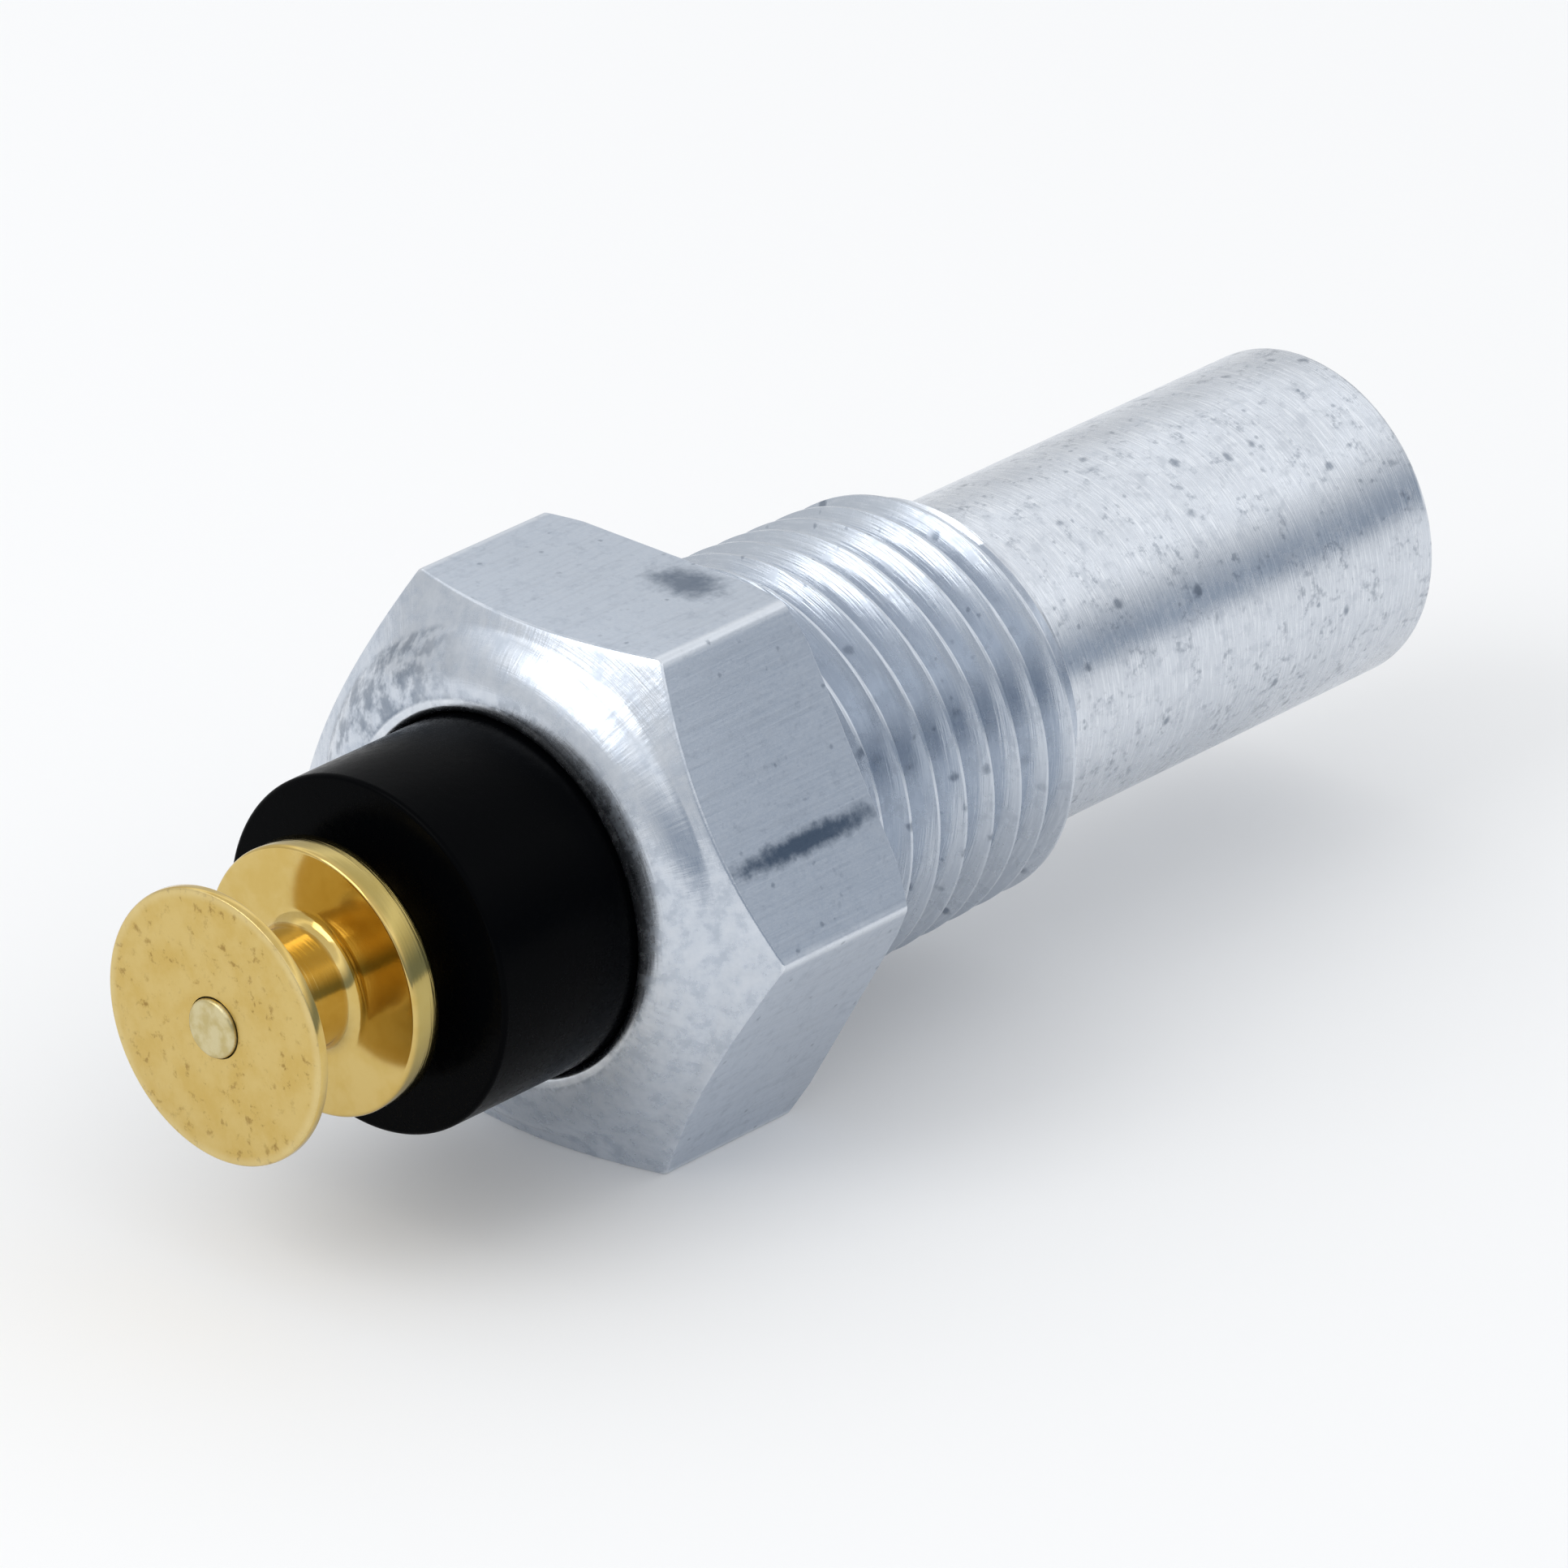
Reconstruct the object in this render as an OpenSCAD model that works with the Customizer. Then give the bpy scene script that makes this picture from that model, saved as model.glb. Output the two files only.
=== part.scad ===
// Temperature sender with a tapered thread and a spool terminal.
// The part lies along X with the probe towards +X and the terminal towards -X.
// One hexagon flat faces up (+Z) and its opposite flat faces down.
// The origin is on the axis, in the rear face of the hexagon, where the thread starts.
// Every piece is drawn along +Z from that face and then laid over onto X.

/* [Hexagon] */
// Width of the hexagon across its flats
hex_af = 20; // [19.6:0.1:24]
// Length of the hexagon's corner edges, from the rear face to the corner chamfer
hex_edge_l = 6.68; // [6:0.02:9]
// Slope of the corner chamfer, measured from a plane across the axis
corner_angle = 30; // [20:0.5:32]
// Height at which the rear chamfer meets the hexagon's corners
rear_chamfer = 0.35; // [0.1:0.05:0.8]

/* [Rolled crimp] */
// Diameter at which the crimp rises from the corner chamfer
crimp_d = 19; // [18.4:0.1:19.4]
// Height of the crimp, from its foot to the lip
crimp_h = 1.27; // [1:0.01:1.6]
// Bulge of the crimp over a straight cone
crimp_bulge = 0.3; // [0.1:0.02:0.34]

/* [Tapered thread] */
// Diameter over the thread's crests, at the small end
thread_small_d = 15.5; // [15:0.1:18]
// Length of the threaded part, from the rear face of the hexagon
thread_l = 13.1; // [10:0.1:16]
// Distance from one crest to the next
thread_pitch = 1.5; // [1:0.05:2]
// Height of a thread ridge from root to crest
thread_depth = 0.9; // [0.5:0.05:1.1]
// Width of the flat left on each crest
thread_crest_w = 0.14; // [0.05:0.01:0.3]
// Growth of the diameter for each millimetre of length
thread_taper = 0.0625; // [0:0.0005:0.1]

/* [Probe] */
// Diameter of the probe
probe_d = 12.8; // [12.2:0.1:13.4]
// Distance from the rear face of the hexagon to the tip
probe_reach = 34.45; // [30:0.05:60]
// Width of the chamfer round the tip
probe_chamfer = 0.25; // [0.1:0.05:1]
// Thickness of the closed end of the probe
probe_end_wall = 2.5; // [1:0.1:4]

/* [Bores of the body] */
// Diameter of the deep bore that holds the sensing element
bore_d = 9.2; // [8.4:0.1:10]
// Diameter of the wide bore that holds the bush
pocket_d = 16.4; // [15.4:0.1:17]
// Distance of the wide bore's floor from the rear face, towards the terminal
pocket_floor = 3; // [2:0.1:4]
// Thickness of the rolled lip, measured along the axis at the bush
lip_t = 1.4; // [0.8:0.05:2]
// Radius of the rounding on the lip's inner edge
lip_round = 0.28; // [0.1:0.02:0.5]

/* [Insulating bush] */
// Diameter of the bush where it stands out of the lip
bush_d = 13.3; // [12:0.1:14]
// Distance of the bush's front face from the rear face of the hexagon
bush_reach = 15.65; // [13:0.05:20]
// Radius of the rounding round the bush's front face
bush_round = 0.2; // [0.1:0.05:1]
// Diameter of the bush's inner neck
bush_neck_d = 7.8; // [7:0.1:8.2]
// Length of the bush's inner neck past the floor of the wide bore
bush_neck_l = 3.5; // [2:0.1:5]

/* [Spool terminal] */
// Diameter of the terminal's front disc
front_disc_d = 10.2; // [8:0.1:12]
// Thickness of the front disc at its edge
front_disc_t = 0.4; // [0.3:0.05:1]
// Diameter of the terminal's rear disc
rear_disc_d = 10; // [8:0.1:12]
// Thickness of the rear disc
rear_disc_t = 1.3; // [0.8:0.05:2]
// Diameter of the neck between the discs
spool_neck_d = 4.4; // [3.6:0.1:6]
// Length of the neck between the discs
spool_neck_l = 4.35; // [3:0.05:8]
// Radius of the hollow corners between the neck and the discs
spool_fillet = 0.6; // [0.2:0.05:1]
// Diameter of the boss that stands on the bush
spool_boss_d = 6.8; // [5:0.1:9]
// Height of the boss that stands on the bush
spool_boss_l = 1.45; // [0.5:0.05:3]

/* [Terminal rivet] */
// Diameter of the rivet through the terminal
rivet_d = 2.2; // [1.6:0.1:3]
// Height by which the rivet stands out of the front disc
rivet_proud = 0.2; // [0.15:0.05:1]
// Diameter of the rivet's inner head
rivet_head_d = 3.8; // [3.2:0.1:4.2]
// Thickness of the rivet's inner head
rivet_head_t = 0.7; // [0.4:0.05:1.2]

/* [Seal] */
// Width of the sealing ring's section, across the axis
seal_w = 1.9; // [1:0.1:2.5]
// Height of the sealing ring's squeezed section, along the axis
seal_t = 1.3; // [0.8:0.05:2]
// Radius of the sealing ring's rounded corners
seal_round = 0.45; // [0.2:0.05:0.6]

/* [Sensing stack] */
// Thickness of the contact washer under the rivet's head
washer_t = 0.5; // [0.3:0.05:1]
// Wall of the insulating sleeve
sleeve_wall = 0.55; // [0.3:0.05:0.6]
// Diameter of the spring's wire
wire_d = 0.7; // [0.4:0.05:0.9]
// Number of the spring's open turns
spring_turns = 8; // [4:1:12]
// Thickness of the contact cap's floor
cap_floor = 0.6; // [0.3:0.05:1]
// Depth of the contact cap's cup
cap_depth = 0.9; // [0.4:0.05:1.2]
// Wall of the contact cap
cap_wall = 0.35; // [0.2:0.05:0.5]
// Diameter of the sensing disc
sensor_d = 6.4; // [4:0.1:6.6]
// Thickness of the sensing disc
sensor_t = 1.6; // [1.3:0.1:3]

/* [Clearances] */
// Clearance round a piece that slides into a bore
slide_gap = 0.05; // [0.02:0.01:0.1]
// Clearance round the spring's coils
spring_gap = 0.3; // [0.2:0.05:0.6]

/* [Hidden] */

round_fn = 96;
arc_steps = 8;
cut_over = 1;
hex_sides = 6;
hex_half_turn = 180 / hex_sides;

// Outline of the hexagon and its crown
blank_over = 0.5;
hex_corner_r = hex_af / 2 / cos(hex_half_turn);
blank_r = hex_corner_r + blank_over;
corner_slope = tan(corner_angle);
rear_slope = 0.5;
crimp_r = crimp_d / 2;
crimp_foot = hex_edge_l + (hex_corner_r - crimp_r) * corner_slope;
crown_top = crimp_foot + crimp_h;
lip_inner_r = bush_d / 2 + slide_gap;
crown_top_r = lip_inner_r + lip_round;
lip_under = crown_top - lip_t;

// Thread
thread_small_r = thread_small_d / 2;
flank_angle = 30;
ridge_half = thread_crest_w / 2 + thread_depth * tan(flank_angle);
last_ridge = thread_l - thread_crest_w / 2;
ridge_count = floor((last_ridge - ridge_half) / thread_pitch) + 1;
ridge_start = last_ridge - (ridge_count - 1) * thread_pitch;

// Bores
bore_floor = probe_reach - probe_end_wall;
pocket_r = pocket_d / 2;

// Bush
flange_r = pocket_r - slide_gap;
flange_under = pocket_floor + seal_t;
neck_end = bush_neck_l - pocket_floor;

// Terminal, measured from the rear face of the hexagon towards the terminal
rear_disc_under = bush_reach + spool_boss_l;
rear_disc_top = rear_disc_under + rear_disc_t;
front_disc_under = rear_disc_top + spool_neck_l;
front_disc_top = front_disc_under + front_disc_t;
rivet_hole_r = rivet_d / 2 + slide_gap;
disc_edge = 0.12;
rivet_edge = 0.15;

// Stack inside the body, measured from the rear face towards the tip
washer_end = neck_end + washer_t;
sleeve_outer_r = bore_d / 2 - slide_gap;
sleeve_inner_r = sleeve_outer_r - sleeve_wall;
sensor_start = bore_floor - sensor_t;
cap_start = sensor_start - cap_floor;
coil_outer_r = sleeve_inner_r - spring_gap;
coil_r = coil_outer_r - wire_d / 2;
coil_start = washer_end + wire_d / 2;
coil_end = cap_start - wire_d / 2;
coil_play = 1.04;
closed_turn = wire_d * coil_play;
wire_sides = 8;
steps_per_turn = 20;

// Radius over the crests at a distance z from the hexagon
function crest_r(z) = thread_small_r + (thread_l - z) * thread_taper / 2;

// Points of an arc of radius r about (cx, cy), from angle a to angle b
function arc_points(cx, cy, r, a, b) = [
    for (i = [0 : arc_steps]) let (w = a + (b - a) * i / arc_steps) [cx + r * cos(w), cy + r * sin(w)]
];

// Points of an arc from p to q that bulges by s to the right of the way from p to q
function bulge_points(p, q, s) =
    let (
        chord = norm(q - p),
        r = chord * chord / 8 / s + s / 2,
        side = [q[1] - p[1], p[0] - q[0]] / chord,
        c = (p + q) / 2 - side * (r - s),
        a = atan2(p[1] - c[1], p[0] - c[0]),
        b = atan2(q[1] - c[1], q[0] - c[0])
    )
    arc_points(c[0], c[1], r, a, b);

// Lays a piece drawn along +Z over onto +X
module laid() {
    rotate([0, 90, 0]) children();
}

// Revolves an outline of [radius, height] points and lays it over
module turned(outline) {
    laid() rotate_extrude($fn = round_fn) polygon(outline);
}

// Outline of one thread ridge at height z: a 60 degree tooth with a narrow flat crest
function ridge_points(z) = [
    [crest_r(z) - thread_depth, z - ridge_half],
    [crest_r(z), z - thread_crest_w / 2],
    [crest_r(z), z + thread_crest_w / 2],
    [crest_r(z) - thread_depth, z + ridge_half]
];

// Outline of the body: crimp, corner chamfer, corner edges, thread ridges, lead-in chamfer and probe
function body_points() = concat(
    [[0, -crown_top]],
    bulge_points([crown_top_r, -crown_top], [crimp_r, -crimp_foot], crimp_bulge),
    [
        [blank_r, -hex_edge_l + blank_over * corner_slope],
        [blank_r, -rear_chamfer - blank_over * rear_slope],
        [hex_corner_r - rear_chamfer / rear_slope, 0],
        [crest_r(0) - thread_depth, 0]
    ],
    [for (i = [0 : ridge_count - 2]) each ridge_points(ridge_start + i * thread_pitch)],
    [
        [crest_r(last_ridge) - thread_depth, last_ridge - ridge_half],
        [crest_r(last_ridge), last_ridge - thread_crest_w / 2],
        [thread_small_r, thread_l],
        [probe_d / 2, thread_l + thread_small_r - probe_d / 2],
        [probe_d / 2, probe_reach - probe_chamfer],
        [probe_d / 2 - probe_chamfer, probe_reach],
        [0, probe_reach]
    ]
);

// Hollow of the body, open at the terminal's end under the rolled lip
module body_hollow() {
    rotate_extrude($fn = round_fn) polygon(concat(
        [[0, -crown_top - cut_over]],
        [[crown_top_r, -crown_top - cut_over]],
        [[crown_top_r, -crown_top]],
        arc_points(crown_top_r, -crown_top + lip_round, lip_round, -90, -180),
        [[lip_inner_r, -lip_under]],
        [[pocket_r, -lip_under]],
        [[pocket_r, -pocket_floor]],
        [[bore_d / 2, -pocket_floor]],
        [[bore_d / 2, bore_floor]],
        [[0, bore_floor]]
    ));
}

module body() {
    color("lightsteelblue") laid() difference() {
        intersection() {
            rotate_extrude($fn = round_fn) polygon(body_points());
            translate([0, 0, -crown_top - cut_over]) rotate([0, 0, hex_half_turn])
                cylinder(h = crown_top + probe_reach + 2 * cut_over, r = hex_corner_r, $fn = hex_sides);
        }
        body_hollow();
    }
}

module insulating_bush() {
    top = -bush_reach;
    bush_r = bush_d / 2;
    color("black") turned(concat(
        [[rivet_hole_r, top]],
        arc_points(bush_r - bush_round, top + bush_round, bush_round, -90, 0),
        [[bush_r, -lip_under]],
        [[flange_r, -lip_under]],
        [[flange_r, -flange_under]],
        [[bush_neck_d / 2, -flange_under]],
        [[bush_neck_d / 2, neck_end]],
        [[rivet_hole_r, neck_end]]
    ));
}

module sealing_ring() {
    outer = flange_r;
    inner = outer - seal_w;
    low = -flange_under;
    high = -pocket_floor;
    color("dimgray") turned(concat(
        arc_points(outer - seal_round, low + seal_round, seal_round, -90, 0),
        arc_points(outer - seal_round, high - seal_round, seal_round, 0, 90),
        arc_points(inner + seal_round, high - seal_round, seal_round, 90, 180),
        arc_points(inner + seal_round, low + seal_round, seal_round, 180, 270)
    ));
}

module spool_terminal() {
    neck_r = spool_neck_d / 2;
    f = spool_fillet;
    edge = disc_edge;
    color("goldenrod") turned(concat(
        [[rivet_hole_r, -front_disc_top]],
        [[front_disc_d / 2 - edge, -front_disc_top]],
        [[front_disc_d / 2, -front_disc_top + edge]],
        [[front_disc_d / 2, -front_disc_under]],
        arc_points(neck_r + f, -front_disc_under + f, f, -90, -180),
        arc_points(neck_r + f, -rear_disc_top - f, f, 180, 90),
        [[rear_disc_d / 2 - edge, -rear_disc_top]],
        [[rear_disc_d / 2, -rear_disc_top + edge]],
        [[rear_disc_d / 2, -rear_disc_under - edge]],
        [[rear_disc_d / 2 - edge, -rear_disc_under]],
        [[spool_boss_d / 2, -rear_disc_under]],
        [[spool_boss_d / 2, -bush_reach]],
        [[rivet_hole_r, -bush_reach]]
    ));
}

module terminal_rivet() {
    r = rivet_d / 2;
    top = -front_disc_top - rivet_proud;
    edge = rivet_edge;
    color("silver") turned([
        [0, top],
        [r - edge, top],
        [r, top + edge],
        [r, washer_end],
        [rivet_head_d / 2, washer_end],
        [rivet_head_d / 2, washer_end + rivet_head_t - edge],
        [rivet_head_d / 2 - edge, washer_end + rivet_head_t],
        [0, washer_end + rivet_head_t]
    ]);
}

module contact_washer() {
    outer = bush_neck_d / 2 - slide_gap;
    color("gold") turned([
        [rivet_hole_r, neck_end],
        [outer, neck_end],
        [outer, washer_end],
        [rivet_hole_r, washer_end]
    ]);
}

module insulating_sleeve() {
    color("wheat") turned([
        [sleeve_inner_r, -pocket_floor],
        [sleeve_outer_r, -pocket_floor],
        [sleeve_outer_r, bore_floor],
        [sleeve_inner_r, bore_floor]
    ]);
}

// Height of the spring's centre line after a number of turns, with one closed turn at each end
total_turns = spring_turns + 2;
open_pitch = (coil_end - coil_start - 2 * closed_turn) / spring_turns;
function coil_z(turn) =
    turn < 1 ? coil_start + closed_turn * turn
    : turn < total_turns - 1 ? coil_start + closed_turn + open_pitch * (turn - 1)
    : coil_end - closed_turn * (total_turns - turn);
function ring_points(turn) = [
    for (k = [0 : wire_sides - 1])
        let (w = 360 * (k + 0.5) / wire_sides, rr = coil_r + wire_d / 2 * cos(w))
            [rr * cos(360 * turn), rr * sin(360 * turn), coil_z(turn) + wire_d / 2 * sin(w)]
];

module contact_spring() {
    rings = total_turns * steps_per_turn;
    points = [for (i = [0 : rings]) each ring_points(i / steps_per_turn)];
    walls = [
        for (i = [0 : rings - 1], k = [0 : wire_sides - 1])
            let (n = (k + 1) % wire_sides, b = i * wire_sides, t = b + wire_sides)
                [b + k, t + k, t + n, b + n]
    ];
    first = [for (k = [0 : wire_sides - 1]) k];
    last = [for (k = [wire_sides - 1 : -1 : 0]) rings * wire_sides + k];
    color("silver") laid() polyhedron(points, concat(walls, [first, last]));
}

module contact_cap() {
    outer = sensor_d / 2 + slide_gap + cap_wall;
    color("gold") turned([
        [0, cap_start],
        [outer, cap_start],
        [outer, sensor_start + cap_depth],
        [outer - cap_wall, sensor_start + cap_depth],
        [outer - cap_wall, sensor_start],
        [0, sensor_start]
    ]);
}

module sensing_disc() {
    color("dimgray") turned([
        [0, sensor_start],
        [sensor_d / 2, sensor_start],
        [sensor_d / 2, bore_floor],
        [0, bore_floor]
    ]);
}

body();
insulating_bush();
sealing_ring();
spool_terminal();
terminal_rivet();
contact_washer();
insulating_sleeve();
contact_spring();
contact_cap();
sensing_disc();
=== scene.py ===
# %% [markdown]
# A temperature sender: the frame first.
# The imported model gives every piece at its true size and place, in metres, with the probe towards +X.
# Its box is kept before any looks are added.
# The Standard view shows each colour as it is written, without a film look on top.

# %% Load the frame
import math
import bpy
import bmesh
from mathutils import Matrix, Vector


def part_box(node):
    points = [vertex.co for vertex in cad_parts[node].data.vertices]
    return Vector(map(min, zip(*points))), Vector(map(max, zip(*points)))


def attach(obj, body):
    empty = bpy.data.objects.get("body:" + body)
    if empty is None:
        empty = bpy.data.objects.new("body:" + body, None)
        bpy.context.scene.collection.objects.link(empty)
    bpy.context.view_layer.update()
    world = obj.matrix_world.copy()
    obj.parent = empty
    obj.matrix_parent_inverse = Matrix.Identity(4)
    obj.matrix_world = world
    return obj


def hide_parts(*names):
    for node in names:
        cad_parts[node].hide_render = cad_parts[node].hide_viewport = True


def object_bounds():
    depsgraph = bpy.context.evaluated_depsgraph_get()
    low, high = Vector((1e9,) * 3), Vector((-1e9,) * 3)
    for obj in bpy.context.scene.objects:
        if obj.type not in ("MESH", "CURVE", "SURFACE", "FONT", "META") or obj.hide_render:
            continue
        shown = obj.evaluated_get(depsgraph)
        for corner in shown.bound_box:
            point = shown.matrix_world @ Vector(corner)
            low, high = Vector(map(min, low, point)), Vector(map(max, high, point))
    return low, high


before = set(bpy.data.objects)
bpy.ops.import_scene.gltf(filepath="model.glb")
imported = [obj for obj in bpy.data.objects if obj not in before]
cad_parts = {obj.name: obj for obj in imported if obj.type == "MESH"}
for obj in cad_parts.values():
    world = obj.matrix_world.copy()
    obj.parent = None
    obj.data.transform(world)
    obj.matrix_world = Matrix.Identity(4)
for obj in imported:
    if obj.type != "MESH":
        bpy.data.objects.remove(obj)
scene = bpy.context.scene
scene.view_settings.view_transform = "Standard"
cad_low, cad_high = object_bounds()
MM = 0.001
print("CAD box in mm:", [round(v / MM, 2) for v in (*cad_low, *cad_high)])

# %% [markdown]
# The camera stands where the photograph was taken from: high on the terminal's side, far away, with a long lens.
# A long lens keeps the discs nearly the same size as they recede, as the photograph does.
# The camera is placed by two angles and a distance from the point that the middle of the picture looks at.

# %% Camera
CAMERA_AZIMUTH = -47.54
CAMERA_ELEVATION = 25.49
CAMERA_ROLL = -0.3
CAMERA_DISTANCE = 491.9 * MM
CAMERA_TARGET = Vector((2.98, -2.67, 0.83)) * MM
CAMERA_LENS = 318.63


def direction(azimuth, elevation):
    """Unit vector that points from the object towards a viewer at these angles."""
    a, e = math.radians(azimuth), math.radians(elevation)
    return Vector((math.sin(a) * math.cos(e), -math.cos(a) * math.cos(e), math.sin(e)))


def make_camera():
    data = bpy.data.cameras.new("camera")
    data.lens = CAMERA_LENS
    data.sensor_width = 36
    data.clip_start = 0.01
    data.clip_end = 50
    camera = bpy.data.objects.new("camera", data)
    scene.collection.objects.link(camera)
    back = direction(CAMERA_AZIMUTH, CAMERA_ELEVATION)
    turn = back.to_track_quat("Z", "Y").to_matrix() @ Matrix.Rotation(math.radians(CAMERA_ROLL), 3, "Z")
    camera.matrix_world = Matrix.Translation(CAMERA_TARGET + back * CAMERA_DISTANCE) @ turn.to_4x4()
    scene.camera = camera
    return camera


camera = make_camera()
print("camera at", [round(v, 4) for v in camera.location])

# %% [markdown]
# The sizes that the looks need.
# What the frame already knows is read from its boxes, and the rest is named here in millimetres.

# %% Sizes
body_low, body_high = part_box("body")
CROWN_TOP = -body_low[0] / MM
PROBE_TIP = body_high[0] / MM
HEX_HALF = body_high[2] / MM
HEX_CORNER = HEX_HALF / math.cos(math.radians(30))
HEX_EDGE = 6.68
CORNER_ANGLE = math.radians(30)
CORNER_ROUND = 0.3
REAR_CHAMFER = 0.35
CRIMP_R = 9.5
CRIMP_FOOT = HEX_EDGE + (HEX_CORNER - CRIMP_R) * math.tan(CORNER_ANGLE)
CRIMP_BULGE = 0.3

THREAD_SMALL_R = 7.75
THREAD_END = 13.1
THREAD_PITCH = 1.5
THREAD_DEPTH = 0.9
THREAD_TAPER = 1 / 32
THREAD_PHASE = 0.41
LEAD_SLOPE = 1
PROBE_R = 6.4
PROBE_CHAMFER = 0.25

BUSH_R = 6.65
LIP_R = 6.7
LIP_ROUND = 0.28
BORE_R = 4.6
POCKET_R = 8.2
POCKET_FLOOR = 3.0
LIP_UNDER = CROWN_TOP - 1.4
BORE_FLOOR = PROBE_TIP - 2.5
print("crown top", round(CROWN_TOP, 2), "tip", round(PROBE_TIP, 2), "half flats", round(HEX_HALF, 2))

# %% [markdown]
# Short calls that keep the node trees readable.
# The same helper serves the Geometry Nodes of the thread and the shader nodes of the finishes.

# %% Node helpers
class Tree:
    """Adds nodes to a tree and links them."""

    def __init__(self, tree):
        self.tree = tree

    def node(self, kind, **settings):
        node = self.tree.nodes.new(kind)
        for key, value in settings.items():
            setattr(node, key, value)
        return node

    def put(self, value, socket):
        """Links a socket, or sets a plain value."""
        if isinstance(value, bpy.types.NodeSocket):
            self.tree.links.new(value, socket)
        else:
            socket.default_value = value

    def math(self, operation, *values, clamp=False):
        node = self.node("ShaderNodeMath", operation=operation, use_clamp=clamp)
        for socket, value in zip(node.inputs, values):
            self.put(value, socket)
        return node.outputs[0]

    def step(self, value, low, high, out_low=0, out_high=1):
        """Smooth ramp of a value from one range to another."""
        node = self.node("ShaderNodeMapRange", interpolation_type="SMOOTHSTEP")
        for name, given in zip(("Value", "From Min", "From Max", "To Min", "To Max"),
                               (value, low, high, out_low, out_high)):
            self.put(given, node.inputs[name])
        return node.outputs[0]


# %% [markdown]
# Small helpers for the mesh work.
# Every turned piece is a set of rings about the X axis, and neighbouring rings are joined by four-sided faces.
# A ring of radius nought closes to a single point, which is how a solid gets its end without a stray hole.

# %% Mesh helpers
SMOOTH_LIMIT = math.radians(28)
WELD = 0.0008 * MM


def ring(points, columns):
    """One ring from (x, r), or from a function of the angle that gives (x, r)."""
    out = []
    for angle in columns:
        x, r = points(angle) if callable(points) else points
        out.append((x * MM, -r * math.sin(angle) * MM, r * math.cos(angle) * MM))
    return out


def join_rings(rings, closed=False):
    """Vertices and faces of a skin over rings that have the same number of points."""
    count = len(rings[0])
    verts = [p for points in rings for p in points]
    faces = []
    for i in range(len(rings) if closed else len(rings) - 1):
        low, high = i * count, ((i + 1) % len(rings)) * count
        for k in range(count):
            n = (k + 1) % count
            faces.append((low + k, low + n, high + n, high + k))
    return verts, faces


def finish_mesh(name, meshes, limit=SMOOTH_LIMIT):
    """Joins meshes, welds doubles, turns the faces outwards and smooths the soft edges."""
    bm = bmesh.new()
    for mesh in meshes:
        bm.from_mesh(mesh)
    bmesh.ops.remove_doubles(bm, verts=bm.verts, dist=WELD)
    bmesh.ops.dissolve_degenerate(bm, edges=bm.edges, dist=WELD)
    bmesh.ops.recalc_face_normals(bm, faces=bm.faces)
    if bm.calc_volume(signed=True) < 0:
        bmesh.ops.reverse_faces(bm, faces=bm.faces)
    for face in bm.faces:
        face.smooth = True
        face.material_index = 0
    for edge in bm.edges:
        edge.smooth = len(edge.link_faces) == 2 and edge.calc_face_angle(0) < limit
    open_edges = sum(1 for edge in bm.edges if len(edge.link_faces) != 2)
    mesh = bpy.data.meshes.new(name)
    bm.to_mesh(mesh)
    bm.free()
    obj = bpy.data.objects.new(name, mesh)
    scene.collection.objects.link(obj)
    print(name, "faces", len(mesh.polygons), "open edges", open_edges)
    return obj


def plain_mesh(name, verts, faces):
    mesh = bpy.data.meshes.new(name)
    mesh.from_pydata(verts, [], faces)
    return mesh


def arc(cx, cr, radius, start, end, steps=6):
    """Points (x, r) along an arc about (cx, cr), for angles in degrees from +x towards +r."""
    out = []
    for i in range(steps + 1):
        w = math.radians(start + (end - start) * i / steps)
        out.append((cx + radius * math.cos(w), cr + radius * math.sin(w)))
    return out


def turned(name, outline, segments=160):
    """A lathe-turned piece from an outline of (x, r) points in millimetres."""
    columns = [2 * math.pi * k / segments for k in range(segments)]
    closed = outline[0][1] > 0
    verts, faces = join_rings([ring(p, columns) for p in outline], closed)
    return finish_mesh(name, [plain_mesh(name, verts, faces)])


# %% [markdown]
# The thread follows a rule, so Geometry Nodes make it.
# A flat grid is rolled up round the axis: one way runs round the thread, the other way along it.
# The grid is rolled up askew by one pitch in each turn, so its rows lie on the crests and in the grooves of the helix.
# A clamp on the place along the axis trims the helix to a flat start at the hexagon and a clean end at the probe.
# Each input carries a plain name, so that another thread needs only other numbers.

# %% Thread by Geometry Nodes
ROWS_PER_PITCH = 12
ROUND_STEPS = 288
FLANK = math.tan(math.radians(30))
THREAD_INPUTS = ["Small radius", "Length", "Pitch", "Taper", "Depth", "Phase", "Lead slope", "Probe radius", "Turns"]


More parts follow.
